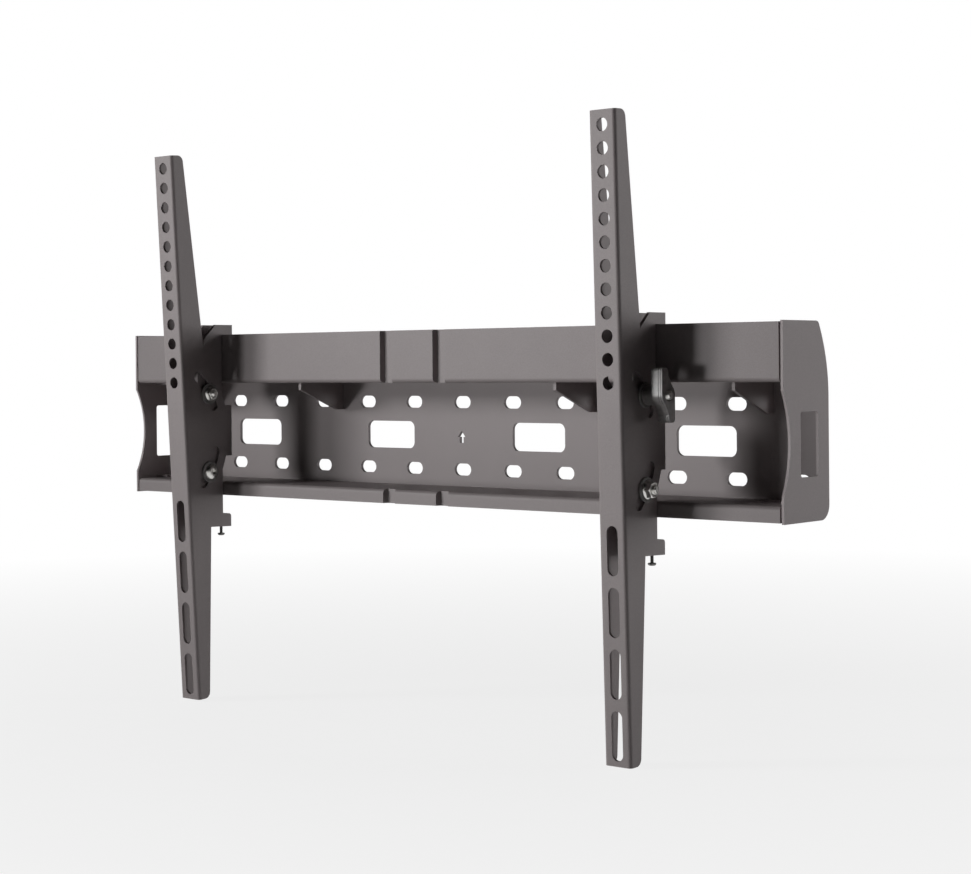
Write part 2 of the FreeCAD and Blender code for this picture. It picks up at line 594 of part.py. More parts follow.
def make_hanger(label, across):
    body = new_body(label)
    cheek = new_sketch(body, f"{label}_outline", "YZ_Plane")
    polygon(cheek, [
        ("-footFront", f"{FOOT_BOTTOM} + footSlope"),
        ("footReach", FOOT_BOTTOM),
        ("footReach", FOOT_TOP),
        ("-bandFit", FOOT_TOP),
        ("-bandFit", f"{FLOOR} + tongueFoot"),
        ("tongueReach", f"{FLOOR} + tongueFoot"),
        ("tongueReach", f"{BAND_FOOT} - tongueTop"),
        ("-bandFit", f"{BAND_FOOT} - tongueTop"),
        ("-bandFit", f"{TOP} + seatFit"),
        ("railSheet + hookFit", f"{TOP} + seatFit"),
        ("railSheet + hookFit", f"{TOP} - hookDrop"),
        ("hookReach", f"{TOP} - hookDrop"),
        ("hookReach", f"{TOP} + hookRise"),
        ("-crownFront", f"{TOP} + hookRise"),
        ("-noseFront", f"{TOP} - noseDrop"),
        ("-hangerFront", "hangerFrontTop"),
        ("-hangerFront", "-hangerFrontFoot"),
    ])
    pad(body, cheek, f"2 * {HANGER_HALF}", both=True)
    hollow = new_sketch(body, f"{label}_hollow_outline", "XY_Plane")
    inside = "(hangerSheet - hangerFront)"
    beyond = "(hookReach + hangerSheet)"
    polygon(hollow, [
        (f"-{CHEEK_INSIDE}", inside), (CHEEK_INSIDE, inside),
        (CHEEK_INSIDE, beyond), (f"-{CHEEK_INSIDE}", beyond),
    ])
    pocket(body, hollow)
    web = new_sketch(body, f"{label}_web_outline", "XY_Plane", FOOT_TOP)
    polygon(web, [
        (f"-{CHEEK_INSIDE}", "-footWebFront"), (CHEEK_INSIDE, "-footWebFront"),
        (CHEEK_INSIDE, "footReach"), (f"-{CHEEK_INSIDE}", "footReach"),
    ])
    pad(body, web, "hangerSheet", back=True)
    fillet(body, f"{label}_foot_corner", 0, [("footReach", FOOT_TOP)], "footRound")
    lock = new_sketch(body, f"{label}_lock_outline", "XY_Plane")
    circle(lock, ("0", "lockReach"), "lockDiameter / 2 + pinFit")
    pocket(body, lock)
    bores = new_sketch(body, f"{label}_bore_outline", "YZ_Plane")
    circle(bores, (PIN_Y, f"{PIN_RISE} - pivotDrop"), PIN_BORE)
    circle(bores, (PIN_Y, f"-{PIN_RISE} - pivotDrop"), PIN_BORE)
    pocket(body, bores)
    place(body, across, "0", "0")
    return body


# Turned and pressed hardware, each along its own X axis from the arm's middle plane outwards

def bar(name, start, end, radius):
    """A round bar along X from start to end."""
    item = doc.addObject("Part::Cylinder", name)
    item.Placement = FreeCAD.Placement(FreeCAD.Vector(), FreeCAD.Rotation(FreeCAD.Vector(0, 1, 0), 90))
    bind(item, "Placement.Base.x", start)
    bind(item, "Height", f"{end} - {start}")
    bind(item, "Radius", radius)
    return item


def hexagon(name, start, end, across_flats):
    """A hexagonal bar along X from start to end."""
    item = doc.addObject("Part::Prism", name)
    item.Polygon = 6
    item.Placement = FreeCAD.Placement(FreeCAD.Vector(), FreeCAD.Rotation(FreeCAD.Vector(0, 1, 0), 90))
    bind(item, "Placement.Base.x", start)
    bind(item, "Height", f"{end} - {start}")
    bind(item, "Circumradius", f"{across_flats} / sqrt(3)")
    return item


def join(label, pieces):
    item = doc.addObject("Part::MultiFuse", label)
    item.Shapes = pieces
    item.Label = label
    return item


def cut_away(label, base, tool):
    item = doc.addObject("Part::Cut", label)
    item.Base = base
    item.Tool = tool
    item.Label = label
    return item


def place_hardware(item, across, rise, outward):
    """Set a turned piece on a pin's axis, facing right or left."""
    turn = "0 deg" if outward else "180 deg"
    place(item, across, PIN_Y, f"{rise} - pivotDrop", turn=turn, axis=FreeCAD.Vector(0, 0, 1))
    return item


def pin_bars(label, tail):
    """Shank through arm and hanger, and a thread that stands out on the outer side."""
    shank = bar(f"{label}_shank", f"(-{WASHER_OUTSIDE})", WASHER_OUTSIDE, "pinDiameter / 2")
    thread = bar(f"{label}_thread", "0", tail, "threadDiameter / 2")
    return [shank, thread]


def make_upper_pin(label, across, outward):
    """A stud threaded at both ends, for the knob outside and a nut inside."""
    pieces = pin_bars(label, f"({WASHER_OUTSIDE} + hubLong + knobThick)")
    inner = f"(-{WASHER_OUTSIDE} - stubNutHigh - stubProud)"
    pieces.append(bar(f"{label}_inner_thread", inner, "0", "stubDiameter / 2"))
    return place_hardware(join(label, pieces), across, PIN_RISE, outward)


def make_lower_pin(label, across, outward):
    """A bolt with a low domed head inside."""
    pieces = pin_bars(label, f"({WASHER_OUTSIDE} + nutHigh + threadProud)")
    rim = f"(-{WASHER_OUTSIDE} - headRim)"
    pieces.append(bar(f"{label}_rim", rim, f"(-{WASHER_OUTSIDE})", "headDiameter / 2"))
    dome = doc.addObject("Part::Cone", f"{label}_dome")
    dome.Placement = FreeCAD.Placement(FreeCAD.Vector(), FreeCAD.Rotation(FreeCAD.Vector(0, 1, 0), 90))
    bind(dome, "Placement.Base.x", f"{rim} - headDome")
    bind(dome, "Height", "headDome")
    bind(dome, "Radius1", "headCrown / 2")
    bind(dome, "Radius2", "headDiameter / 2")
    pieces.append(dome)
    return place_hardware(join(label, pieces), across, f"-{PIN_RISE}", outward)


def make_ring(label, spans, outer, inner):
    """Plain rings on one axis."""
    rings = []
    for index, (start, end) in enumerate(spans):
        body = bar(f"{label}_body_{index}", start, end, outer)
        bore = bar(f"{label}_bore_{index}", start, end, inner)
        rings.append(cut_away(f"{label}_ring_{index}", body, bore))
    item = doc.addObject("Part::Compound", label)
    item.Links = rings
    return item


def make_nut(label, across, rise, outward, sizes):
    """A flange nut against a washer, from its thread, flats, height and flange."""
    thread, flats, high, wide = sizes
    flange = bar(f"{label}_flange", WASHER_OUTSIDE, f"({WASHER_OUTSIDE} + nutFlangeThick)", f"{wide} / 2")
    block = hexagon(f"{label}_block", WASHER_OUTSIDE, f"({WASHER_OUTSIDE} + {high})", flats)
    bore = bar(f"{label}_bore", "0", f"({WASHER_OUTSIDE} + 2 * {high})", f"{thread} / 2 + pinFit")
    nut = cut_away(label, join(f"{label}_solid", [flange, block]), bore)
    return place_hardware(nut, across, rise, outward)


def make_knob(label, across, rise, outward):
    """The clamp knob: two tapered wings on opposite sides of a round boss, bored for the thread."""
    near_end = f"({WASHER_OUTSIDE} + hubLong)"
    far_end = f"({WASHER_OUTSIDE} + hubLong + knobThick)"
    wings = new_body(f"{label}_wings")
    outer = "(knobWide / 2 - wingRound)"
    inner = "(knobWide / 2 - wingWide + wingRound)"
    tip = "(knobLong / 2 - wingRound)"
    for level, sign, other in (("upper", "-", ""), ("lower", "", "-")):
        outline = new_sketch(wings, f"{label}_{level}_outline", "YZ_Plane", near_end)
        tip_corners = [(f"{sign}{inner}", f"{other}{tip}"), (f"{sign}{outer}", f"{other}{tip}")]
        shoulder = (f"{other}{outer}", f"{other}wingShoulder")
        root_corners = [(f"{sign}{outer}", "0"), (f"{other}{outer}", "0"), shoulder]
        rounded(outline, tip_corners + root_corners, "wingRound")
        pad(wings, outline, "knobThick")
    boss = bar(f"{label}_boss", near_end, far_end, "knobWide / 2")
    hub = bar(f"{label}_hub", f"({WASHER_OUTSIDE} + washerFit)", far_end, "hubDiameter / 2")
    bore = bar(f"{label}_bore", "0", f"({far_end} + hubLong)", "threadDiameter / 2 + pinFit")
    knob = cut_away(label, join(f"{label}_solid", [wings, boss, hub]), bore)
    return place_hardware(knob, across, rise, outward)


def make_lock_screw(label, across):
    """The locking screw under the foot: its tip stands behind the lip."""
    shank = doc.addObject("Part::Cylinder", f"{label}_shank")
    bind(shank, "Radius", "lockDiameter / 2")
    bind(shank, "Height", "lockTip + footDrop + footHigh + lockHang")
    head = doc.addObject("Part::Cylinder", f"{label}_head")
    bind(head, "Radius", "lockHead / 2")
    bind(head, "Height", "lockHeadHigh")
    bind(head, "Placement.Base.z", "-lockHeadHigh")
    screw = join(label, [shank, head])
    place(screw, across, "lockReach", f"{FOOT_BOTTOM} - lockHang")
    return screw


def make_side(name, across, tilt, outward):
    """All that hangs on the rail at one place: hanger, arm, pins, nuts, knob and screw."""
    made = [
        make_arm(f"arm_{name}", across, tilt),
        make_hanger(f"hanger_{name}", across),
        make_upper_pin(f"upper_pin_{name}", across, outward),
        make_lower_pin(f"lower_pin_{name}", across, outward),
        make_nut(f"upper_nut_{name}", across, PIN_RISE, not outward, STUB_NUT),
        make_nut(f"lower_nut_{name}", across, f"-{PIN_RISE}", outward, OUTER_NUT),
        make_knob(f"clamp_knob_{name}", across, PIN_RISE, outward),
        make_lock_screw(f"lock_screw_{name}", across),
    ]
    washer_spans = [(f"(-{WASHER_OUTSIDE})", f"(-{WASHER_INSIDE})"), (WASHER_INSIDE, WASHER_OUTSIDE)]
    for level, rise in (("upper", PIN_RISE), ("lower", f"-{PIN_RISE}")):
        washers = make_ring(f"{level}_washers_{name}", washer_spans, "washerDiameter / 2", PIN_BORE)
        washers.Label = f"{level}_washers_{name}"
        made.append(place_hardware(washers, across, rise, outward))
    return made


nodes = [make_wall_channel()]
gusset_places = (
    ("gusset_left_outer", "gussetInset - railLength / 2"), ("gusset_left_inner", "-gussetInner"),
    ("gusset_right_inner", "gussetInner"), ("gusset_right_outer", "railLength / 2 - gussetInset"),
)
for gusset_label, gusset_across in gusset_places:
    nodes.append(make_gusset(gusset_label, gusset_across))
nodes.append(make_end_cap("end_cap_left", right=False))
nodes.append(make_end_cap("end_cap_right", right=True))
nodes += make_side("left", "-leftPlace", "leftTilt", outward=False)
nodes += make_side("right", "rightPlace", "rightTilt", outward=True)
doc.recompute()

for item in doc.Objects:
    if "Invalid" in item.State or "Error" in item.State:
        raise RuntimeError(f"{item.Label} failed: {item.State}")
for node in nodes:
    if node.Shape.isNull() or not node.Shape.isValid() or not node.Shape.Solids:
        raise RuntimeError(f"{node.Label} has no valid solid")

os.makedirs("parts", exist_ok=True)
for node in nodes:
    node.Shape.exportStep(f"parts/{node.Label}.step")
    box = node.Shape.BoundBox
    print(f"{node.Label:22s} solids {len(node.Shape.Solids)} volume {node.Shape.Volume:10.1f}"
          f" x {box.XMin:7.1f} {box.XMax:7.1f} y {box.YMin:7.1f} {box.YMax:7.1f}"
          f" z {box.ZMin:7.1f} {box.ZMax:7.1f}")
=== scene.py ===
"""Looks for a tilting screen wall mount: coatings, fasteners, clamp knobs and a studio stage."""

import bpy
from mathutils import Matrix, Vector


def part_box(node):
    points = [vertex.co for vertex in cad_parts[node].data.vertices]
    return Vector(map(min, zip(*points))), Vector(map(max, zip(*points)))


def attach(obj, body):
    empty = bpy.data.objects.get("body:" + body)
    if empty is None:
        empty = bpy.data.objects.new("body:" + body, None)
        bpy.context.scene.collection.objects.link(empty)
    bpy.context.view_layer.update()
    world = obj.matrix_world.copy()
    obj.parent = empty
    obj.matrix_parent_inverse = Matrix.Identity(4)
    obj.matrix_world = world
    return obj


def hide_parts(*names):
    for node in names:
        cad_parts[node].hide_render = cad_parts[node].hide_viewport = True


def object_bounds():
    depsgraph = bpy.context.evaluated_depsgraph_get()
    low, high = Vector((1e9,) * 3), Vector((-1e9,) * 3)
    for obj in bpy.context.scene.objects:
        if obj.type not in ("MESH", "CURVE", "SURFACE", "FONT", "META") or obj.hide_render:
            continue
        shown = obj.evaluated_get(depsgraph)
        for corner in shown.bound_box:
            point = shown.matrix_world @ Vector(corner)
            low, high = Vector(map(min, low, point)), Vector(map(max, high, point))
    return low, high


bl_info = {
    "name": "Tilting Wall Mount",
    "version": (1, 0, 0),
    "blender": (4, 5, 0),
    "location": "3D View > Sidebar > Mount",
    "description": "Dresses a tilting screen wall mount with coatings, fasteners and a studio",
    "category": "Object",
}

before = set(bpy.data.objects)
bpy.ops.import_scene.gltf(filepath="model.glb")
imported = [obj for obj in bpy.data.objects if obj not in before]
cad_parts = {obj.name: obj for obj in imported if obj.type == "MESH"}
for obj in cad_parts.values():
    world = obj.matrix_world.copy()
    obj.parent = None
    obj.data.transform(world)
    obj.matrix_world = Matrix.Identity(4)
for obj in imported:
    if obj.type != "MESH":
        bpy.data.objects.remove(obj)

import math

import bpy
from bpy.props import FloatProperty, FloatVectorProperty, IntProperty, PointerProperty
from bpy.types import Operator, Panel, PropertyGroup
from mathutils import Matrix, Vector

CAD_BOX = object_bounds()
OUTWARD = {"left": -1.0, "right": 1.0}
SIDES = ("left", "right")
BORE_GAP = 0.00005  # between a thread or shank and its bore
THREAD_ROOT = 0.00055  # from a pin's thread to the core inside it
BEYOND = 0.001  # how far a cutter passes the face that it cuts
SAME_POINT = 0.00001  # points that are closer than this are one
CORNER_STEPS = 6  # facets of a rounded corner
SHARP_EDGE = math.radians(32.0)  # edges that turn by more than this stay crisp
# Profiles of the domed heads: depth from the outer face, and share of the radius
BOLT_DOME = (
    (0.0, 0.42), (0.0003, 0.58), (0.0009, 0.78), (0.0016, 0.91), (0.0022, 0.985), (0.0028, 1.0),
)
SCREW_DOME = ((0.0, 0.55), (0.0002, 0.78), (0.0007, 0.96), (0.0011, 1.0), (0.0016, 1.0))
STEEL_NODES = {
    "rail_steel": (
        "wall_channel", "gusset_left_outer", "gusset_left_inner",
        "gusset_right_inner", "gusset_right_outer",
    ),
    "cap_steel": ("end_cap_left", "end_cap_right"),
    "arm_steel": ("arm_left", "arm_right", "hanger_left", "hanger_right"),
}


def extent(node):
    """Size of a node along each axis."""
    low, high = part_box(node)
    return high - low


# Settings that a user would change

def length(name, description, default):
    """A setting in metres."""
    return FloatProperty(
        name=name, description=description, default=default, min=0.0, precision=5,
        subtype="DISTANCE", unit="LENGTH",
    )


def colour(name, description, default):
    """A setting with red, green, blue and alpha."""
    return FloatVectorProperty(
        name=name, description=description, default=default, size=4, min=0.0, max=1.0,
        subtype="COLOR",
    )


class MountFinishes(PropertyGroup):
    """Colours and grain of the mount's materials."""

    # One powder coat at three brightnesses: the rail's, arms' and caps' colours differ only as
    # painted light and shade.
    rail: colour("Rail coat", "Powder coat of the rail and gussets", (0.318, 0.281, 0.283, 1.0))
    cap: colour("Cap coat", "Powder coat of the end caps", (0.452, 0.4, 0.404, 1.0))
    arm: colour("Arm coat", "Powder coat of the arms and hangers", (0.369, 0.326, 0.328, 1.0))
    zinc: colour("Zinc", "Bright plate on pins and nuts", (0.76, 0.75, 0.72, 1.0))
    nylon: colour("Nylon", "Friction washers", (0.29, 0.276, 0.271, 1.0))
    plastic: colour("Knob plastic", "Moulded clamp knobs", (0.4, 0.382, 0.376, 1.0))
    dark_plate: colour("Dark plate", "Plate on the locking screws", (0.16, 0.158, 0.155, 1.0))
    coat_grain: length("Coat grain", "Size of the powder coat's grain", 0.0007)
    coat_relief: length("Coat relief", "Depth of the powder coat's grain", 0.00006)


class MountHardware(PropertyGroup):
    """Sizes of the knobs, nuts and screws."""

    knob_long: length("Knob length", "Length of a knob over its wings", 0.0354)
    knob_wide: length("Knob width", "Diameter of a knob's boss", 0.0144)
    wing_wide: length("Wing width", "Width of a knob's wing", 0.0079)
    wing_round: length("Wing rounding", "Radius of the wings' corners", 0.002)
    wing_taper: length("Wing taper", "How much narrower a wing is at its tip", 0.0012)
    wing_edge: length("Wing edge", "Chamfer on the wings' edges", 0.00035)
    wing_thick: length("Wing thickness", "Thickness of the wings along the pin", 0.0089)
    line_deep: length("Line depth", "Depth of the fine lines round the wings", 0.0003)
    line_wide: length("Line width", "Width of those lines", 0.0006)
    line_first: length("First line", "Middle of the first line from the wings' outer face", 0.0013)
    line_apart: length("Line spacing", "From the first line to the second", 0.0017)
    hub_long: length("Hub length", "From the washer to the wings", 0.0083)
    hub_radius: length("Hub radius", "Radius of the knob's hub", 0.0065)
    outer_flats: length("Outer nut", "Across the flats of the outer nut", 0.010)
    inner_flats: length("Inner nut", "Across the flats of the inner nut", 0.008)
    flange_thick: length("Flange", "Thickness of the nuts' flanges", 0.0012)
    outer_thread: length("Outer thread", "Diameter of the outer thread", 0.006)
    inner_thread: length("Inner thread", "Diameter of the inner thread", 0.005)
    pin_shank: length("Pin shank", "Diameter of the tilt pins", 0.008)
    pitch: length("Thread pitch", "Pitch of the pins' threads", 0.0009)
    lock_thread: length("Lock thread", "Diameter of the locking screws", 0.0025)
    lock_pitch: length("Lock pitch", "Pitch of the locking screws", 0.0006)
    around: IntProperty(
        name="Steps", description="Sides of a turned piece", default=48, min=16, max=96,
    )


class MountStage(PropertyGroup):
    """Camera and lamps."""

    camera_place: FloatVectorProperty(
        name="Camera", description="Place of the camera", default=(0.96969, -1.12646, 0.03712),
        size=3, subtype="TRANSLATION", unit="LENGTH",
    )
    camera_heading: FloatProperty(
        name="Heading", description="Camera turned to the left of straight ahead",
        default=math.radians(40.36), subtype="ANGLE", unit="ROTATION",
    )
    camera_lift: FloatProperty(
        name="Lift", description="Camera raised from level", default=math.radians(-0.21),
        subtype="ANGLE", unit="ROTATION",
    )
    camera_roll: FloatProperty(
        name="Roll", description="Camera turned about its view", default=math.radians(-0.5),
        subtype="ANGLE", unit="ROTATION",
    )
    focal_length: FloatProperty(
        name="Focal length", description="Lens in millimetres on a 36 mm sensor", default=74.31,
    )
    shift: FloatVectorProperty(
        name="Shift", description="Lens shift for the framing", default=(0.0088, -0.0662), size=2,
    )
    low_power: FloatProperty(
        name="Low lamp", description="Power of the lamp level with the mount", default=0.72,
        subtype="POWER",
    )
    key_power: FloatProperty(
        name="Key lamp", description="Power of the key lamp", default=2.02, subtype="POWER",
    )
    rim_power: FloatProperty(
        name="Rim lamp", description="Power of the lamp behind on the right", default=1.75,
        subtype="POWER",
    )


# Materials, all patterned on Object coordinates

def new_material(name):
    """A node material and its shader."""
    material = bpy.data.materials.new(name)
    material.use_nodes = True
    return material, material.node_tree.nodes["Principled BSDF"]


def add_noise(tree, size, detail, roughness, stretch=(1.0, 1.0, 1.0)):
    """Noise on Object coordinates whose features are about the given size."""
    coordinates = tree.nodes.new("ShaderNodeTexCoord")
    mapping = tree.nodes.new("ShaderNodeMapping")
    mapping.inputs["Scale"].default_value = stretch
    noise = tree.nodes.new("ShaderNodeTexNoise")
    noise.inputs["Scale"].default_value = 1.0 / size
    noise.inputs["Detail"].default_value = detail
    noise.inputs["Roughness"].default_value = roughness
    tree.links.new(coordinates.outputs["Object"], mapping.inputs["Vector"])
    tree.links.new(mapping.outputs["Vector"], noise.inputs["Vector"])
    return noise.outputs["Fac"]


def add_ramp(tree, source, low, high, dark, light):
    """Colours between two levels of a pattern."""
    ramp = tree.nodes.new("ShaderNodeValToRGB")
    ramp.color_ramp.elements[0].position = low
    ramp.color_ramp.elements[0].color = dark
    ramp.color_ramp.elements[1].position = high
    ramp.color_ramp.elements[1].color = light
    tree.links.new(source, ramp.inputs["Fac"])
    return ramp.outputs["Color"]


def add_range(tree, source, low, high):
    """A pattern's values spread between two numbers."""
    spread = tree.nodes.new("ShaderNodeMapRange")
    spread.inputs["To Min"].default_value = low
    spread.inputs["To Max"].default_value = high
    tree.links.new(source, spread.inputs["Value"])
    return spread.outputs["Result"]


def add_bump(tree, source, distance, strength):
    """A pattern felt as relief of the given height."""
    bump = tree.nodes.new("ShaderNodeBump")
    bump.inputs["Distance"].default_value = distance
    bump.inputs["Strength"].default_value = strength
    tree.links.new(source, bump.inputs["Height"])
    return bump.outputs["Normal"]


def shade(base, factor):
    """A colour made darker or lighter."""
    return (base[0] * factor, base[1] * factor, base[2] * factor, 1.0)


def multiply_colours(tree, first, second):
    """Two colours multiplied."""
    mix = tree.nodes.new("ShaderNodeMix")
    mix.data_type = "RGBA"
    mix.blend_type = "MULTIPLY"
    mix.inputs["Factor"].default_value = 1.0
    tree.links.new(first, mix.inputs["A"])
    tree.links.new(second, mix.inputs["B"])
    return mix.outputs["Result"]


def powder_coat(name, base, finishes):
    """Matt polyester powder: pebbled grain, fine dark specks and a slow unevenness of tone."""
    material, shader = new_material(name)
    tree = material.node_tree
    grain = add_noise(tree, finishes.coat_grain, 3.0, 0.55)
    speckle = add_noise(tree, finishes.coat_grain * 0.6, 2.0, 0.7)
    cloud = add_noise(tree, 0.035, 3.0, 0.5)
    tone = add_ramp(tree, speckle, 0.32, 0.66, shade(base, 0.84), shade(base, 1.08))
    uneven = add_ramp(tree, cloud, 0.3, 0.7, (0.95, 0.95, 0.95, 1.0), (1.0, 1.0, 1.0, 1.0))
    tree.links.new(multiply_colours(tree, tone, uneven), shader.inputs["Base Color"])
    tree.links.new(add_range(tree, grain, 0.42, 0.62), shader.inputs["Roughness"])
    tree.links.new(add_bump(tree, grain, finishes.coat_relief, 0.7), shader.inputs["Normal"])
    shader.inputs["Specular IOR Level"].default_value = 0.45
    return material


def bright_zinc(name, base):
    """Clear zinc plate: fine tooling lines, small dull patches."""
    material, shader = new_material(name)
    tree = material.node_tree
    lines = add_noise(tree, 0.0012, 3.0, 0.6, (6.0, 1.0, 1.0))
    patch = add_noise(tree, 0.003, 4.0, 0.6)
    tone = add_ramp(tree, patch, 0.3, 0.7, shade(base, 0.82), shade(base, 1.05))
    tree.links.new(tone, shader.inputs["Base Color"])
    tree.links.new(add_range(tree, patch, 0.3, 0.44), shader.inputs["Roughness"])
    tree.links.new(add_bump(tree, lines, 0.00002, 0.5), shader.inputs["Normal"])
    shader.inputs["Metallic"].default_value = 1.0
    return material


def moulded_plastic(name, base, gloss, grain):
    """Injection moulded plastic with a fine spark-eroded grain."""
    material, shader = new_material(name)
    tree = material.node_tree
    eroded = add_noise(tree, grain, 3.0, 0.6)
    handled = add_noise(tree, 0.006, 3.0, 0.5)
    tone = add_ramp(tree, handled, 0.3, 0.75, shade(base, 0.8), shade(base, 1.25))
    tree.links.new(tone, shader.inputs["Base Color"])
    tree.links.new(add_range(tree, handled, gloss, gloss + 0.14), shader.inputs["Roughness"])
    tree.links.new(add_bump(tree, eroded, 0.00003, 0.6), shader.inputs["Normal"])
    return material


def coat_nodes(material, nodes):
    """Give nodes a material in place of their plain one."""
    for node in nodes:
        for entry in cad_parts[node].material_slots:
            entry.material = material


# Modelling steps

def deselect():
    """Leave edit mode with nothing selected."""
    if bpy.context.mode != "OBJECT":
        bpy.ops.object.mode_set(mode="OBJECT")
    bpy.ops.object.select_all(action="DESELECT")


def choose(*pieces):
    """Select only these pieces, the first of them active."""
    deselect()
    for piece in pieces:
        piece.select_set(True)
    bpy.context.view_layer.objects.active = pieces[0]


def keep_place(piece):
    """Move a piece's place, turn and size into its mesh."""
    choose(piece)
    bpy.ops.object.transform_apply(location=True, rotation=True, scale=True)


def edit_all():
    """Enter edit mode with all of the active piece selected."""
    bpy.ops.object.mode_set(mode="EDIT")
    bpy.ops.mesh.select_all(action="SELECT")


def close_edit():
    """Turn all faces outwards and leave edit mode."""
    bpy.ops.mesh.select_all(action="SELECT")
    bpy.ops.mesh.normals_make_consistent(inside=False)
    bpy.ops.object.mode_set(mode="OBJECT")


def turned(name, rings, around):
    """A turned solid about Z: rings of (height, radius), closed at both ends."""
    deselect()
    height, radius = rings[0]
    bpy.ops.mesh.primitive_circle_add(
        vertices=around, radius=radius, fill_type="NGON", location=(0.0, 0.0, height),
    )
    piece = bpy.context.object
    piece.name = name
    keep_place(piece)
    edit_all()
    for next_height, next_radius in rings[1:]:
        bpy.ops.mesh.extrude_region_move(
            TRANSFORM_OT_translate={"value": (0.0, 0.0, next_height - height)},
        )
        scale = next_radius / radius
        bpy.ops.transform.resize(
            value=(scale, scale, 1.0), center_override=(0.0, 0.0, next_height),
        )
        height, radius = next_height, next_radius
    close_edit()
    return piece


def prism(name, outline, rounding, rings):
    """A convex solid with upright sides and rounded corners.

    The outline's corners are (x, y), anticlockwise, and the rings are (height, inset).
    """
    spots = [Vector(corner) for corner in outline]
    low = Vector(map(min, *spots))
    high = Vector(map(max, *spots))
    middle, whole = (low + high) / 2.0, high - low
    height, inset = rings[0][0], 0.0
    deselect()
    bpy.ops.mesh.primitive_plane_add(size=1.0, location=(middle.x, middle.y, height))
    piece = bpy.context.object
    piece.name = name
    piece.scale = (whole.x, whole.y, 1.0)
    keep_place(piece)
    bpy.ops.object.mode_set(mode="EDIT")
    headings = []
    for step, spot in enumerate(spots):
        along = spots[(step + 1) % len(spots)] - spot
        headings.append(math.atan2(along.y, along.x))
        if min(abs(along.x), abs(along.y)) > SAME_POINT:
            bpy.ops.mesh.select_all(action="SELECT")
            outward = Vector((along.y, -along.x, 0.0)).normalized()
            bpy.ops.mesh.bisect(
                plane_co=(spot.x, spot.y, height), plane_no=outward, clear_outer=True,
            )
    for step, spot in enumerate(spots):
        turn = (headings[step] - headings[step - 1]) % (2.0 * math.pi)
        bpy.ops.mesh.select_all(action="DESELECT")
        bpy.ops.object.mode_set(mode="OBJECT")
        for vertex in piece.data.vertices:
            vertex.select = (vertex.co.xy - spot).length < SAME_POINT
        bpy.ops.object.mode_set(mode="EDIT")
        bpy.ops.mesh.bevel(
            offset=rounding * math.tan(turn / 2.0), segments=CORNER_STEPS, affect="VERTICES",
        )
    bpy.ops.mesh.select_all(action="SELECT")
    for next_height, next_inset in rings:
        if next_height > height:
            bpy.ops.mesh.extrude_region_move(
                TRANSFORM_OT_translate={"value": (0.0, 0.0, next_height - height)},
            )
        scale = [(width - 2.0 * next_inset) / (width - 2.0 * inset) for width in whole]
        bpy.ops.transform.resize(
            value=(scale[0], scale[1], 1.0), center_override=(middle.x, middle.y, next_height),
        )
        height, inset = next_height, next_inset
    close_edit()
    return piece


def thread(name, start, end, radius, pitch, around):
    """A threaded rod along Z: a tooth swept up a helix, cut square and closed at both ends."""
    depth = pitch * 0.55
    tooth = ((depth, pitch * 0.4), (0.0, pitch * 0.16), (-depth, pitch * 0.44))
    lead = pitch * 2.13  # the part turn keeps the square cuts clear of the helix's own points
    spare_turns = 4
    deselect()
    bpy.ops.mesh.primitive_plane_add(size=pitch, location=(0.0, 0.0, 0.0))
    rod = bpy.context.object
    rod.name = name
    edit_all()
    bpy.ops.mesh.merge(type="CENTER")
    for outward, along in tooth:
        bpy.ops.mesh.extrude_vertices_move(
            TRANSFORM_OT_translate={"value": (outward, 0.0, along)},
        )
    bpy.ops.mesh.select_all(action="SELECT")
    bpy.ops.transform.translate(value=(radius - depth, 0.0, start - lead))
    bpy.ops.object.mode_set(mode="OBJECT")
    sweep = rod.modifiers.new("helix", "SCREW")
    sweep.axis = "Z"
    sweep.screw_offset = pitch
    sweep.iterations = math.ceil((end - start) / pitch) + spare_turns
    sweep.steps = around
    sweep.render_steps = around
    sweep.use_merge_vertices = True
    sweep.merge_threshold = pitch * 0.01
    bpy.ops.object.modifier_apply(modifier=sweep.name)
    edit_all()
    bpy.ops.mesh.remove_doubles(threshold=pitch * 0.02)
    for height, facing in ((start, -1.0), (end, 1.0)):
        bpy.ops.mesh.select_all(action="SELECT")
        bpy.ops.mesh.bisect(
            plane_co=(0.0, 0.0, height), plane_no=(0.0, 0.0, facing),
            use_fill=True, clear_outer=True,
        )
    bpy.ops.mesh.select_all(action="SELECT")
    bpy.ops.mesh.remove_doubles(threshold=SAME_POINT)
    bpy.ops.mesh.dissolve_degenerate(threshold=SAME_POINT)
    close_edit()
    return rod


def combine(base, tool, operation):
    """Join, cut or intersect two solids, and drop the second."""
    speck = 0.000001  # shorter edges than this are merged
    choose(base)
    step = base.modifiers.new("combine", "BOOLEAN")
    step.operation = operation
    step.solver = "EXACT"
    step.object = tool
    bpy.ops.object.modifier_apply(modifier=step.name)
    bpy.data.objects.remove(tool)
    edit_all()
    bpy.ops.mesh.remove_doubles(threshold=speck)
    bpy.ops.mesh.dissolve_degenerate(threshold=speck)
    bpy.ops.object.mode_set(mode="OBJECT")
    return base


def nest(name, pieces):
    """Gather closed solids that overlap into one object."""
    choose(*pieces)
    bpy.ops.object.join()
    pieces[0].name = name
    return pieces[0]


def set_on_axis(piece, centre, outward):
    """Stand a piece's Z axis along the pin, outwards, and keep its place in its mesh."""
    turn = Matrix(((0.0, 0.0, outward), (0.0, outward, 0.0), (-1.0, 0.0, 0.0))).to_4x4()
    piece.matrix_world = Matrix.Translation(centre) @ turn
    keep_place(piece)


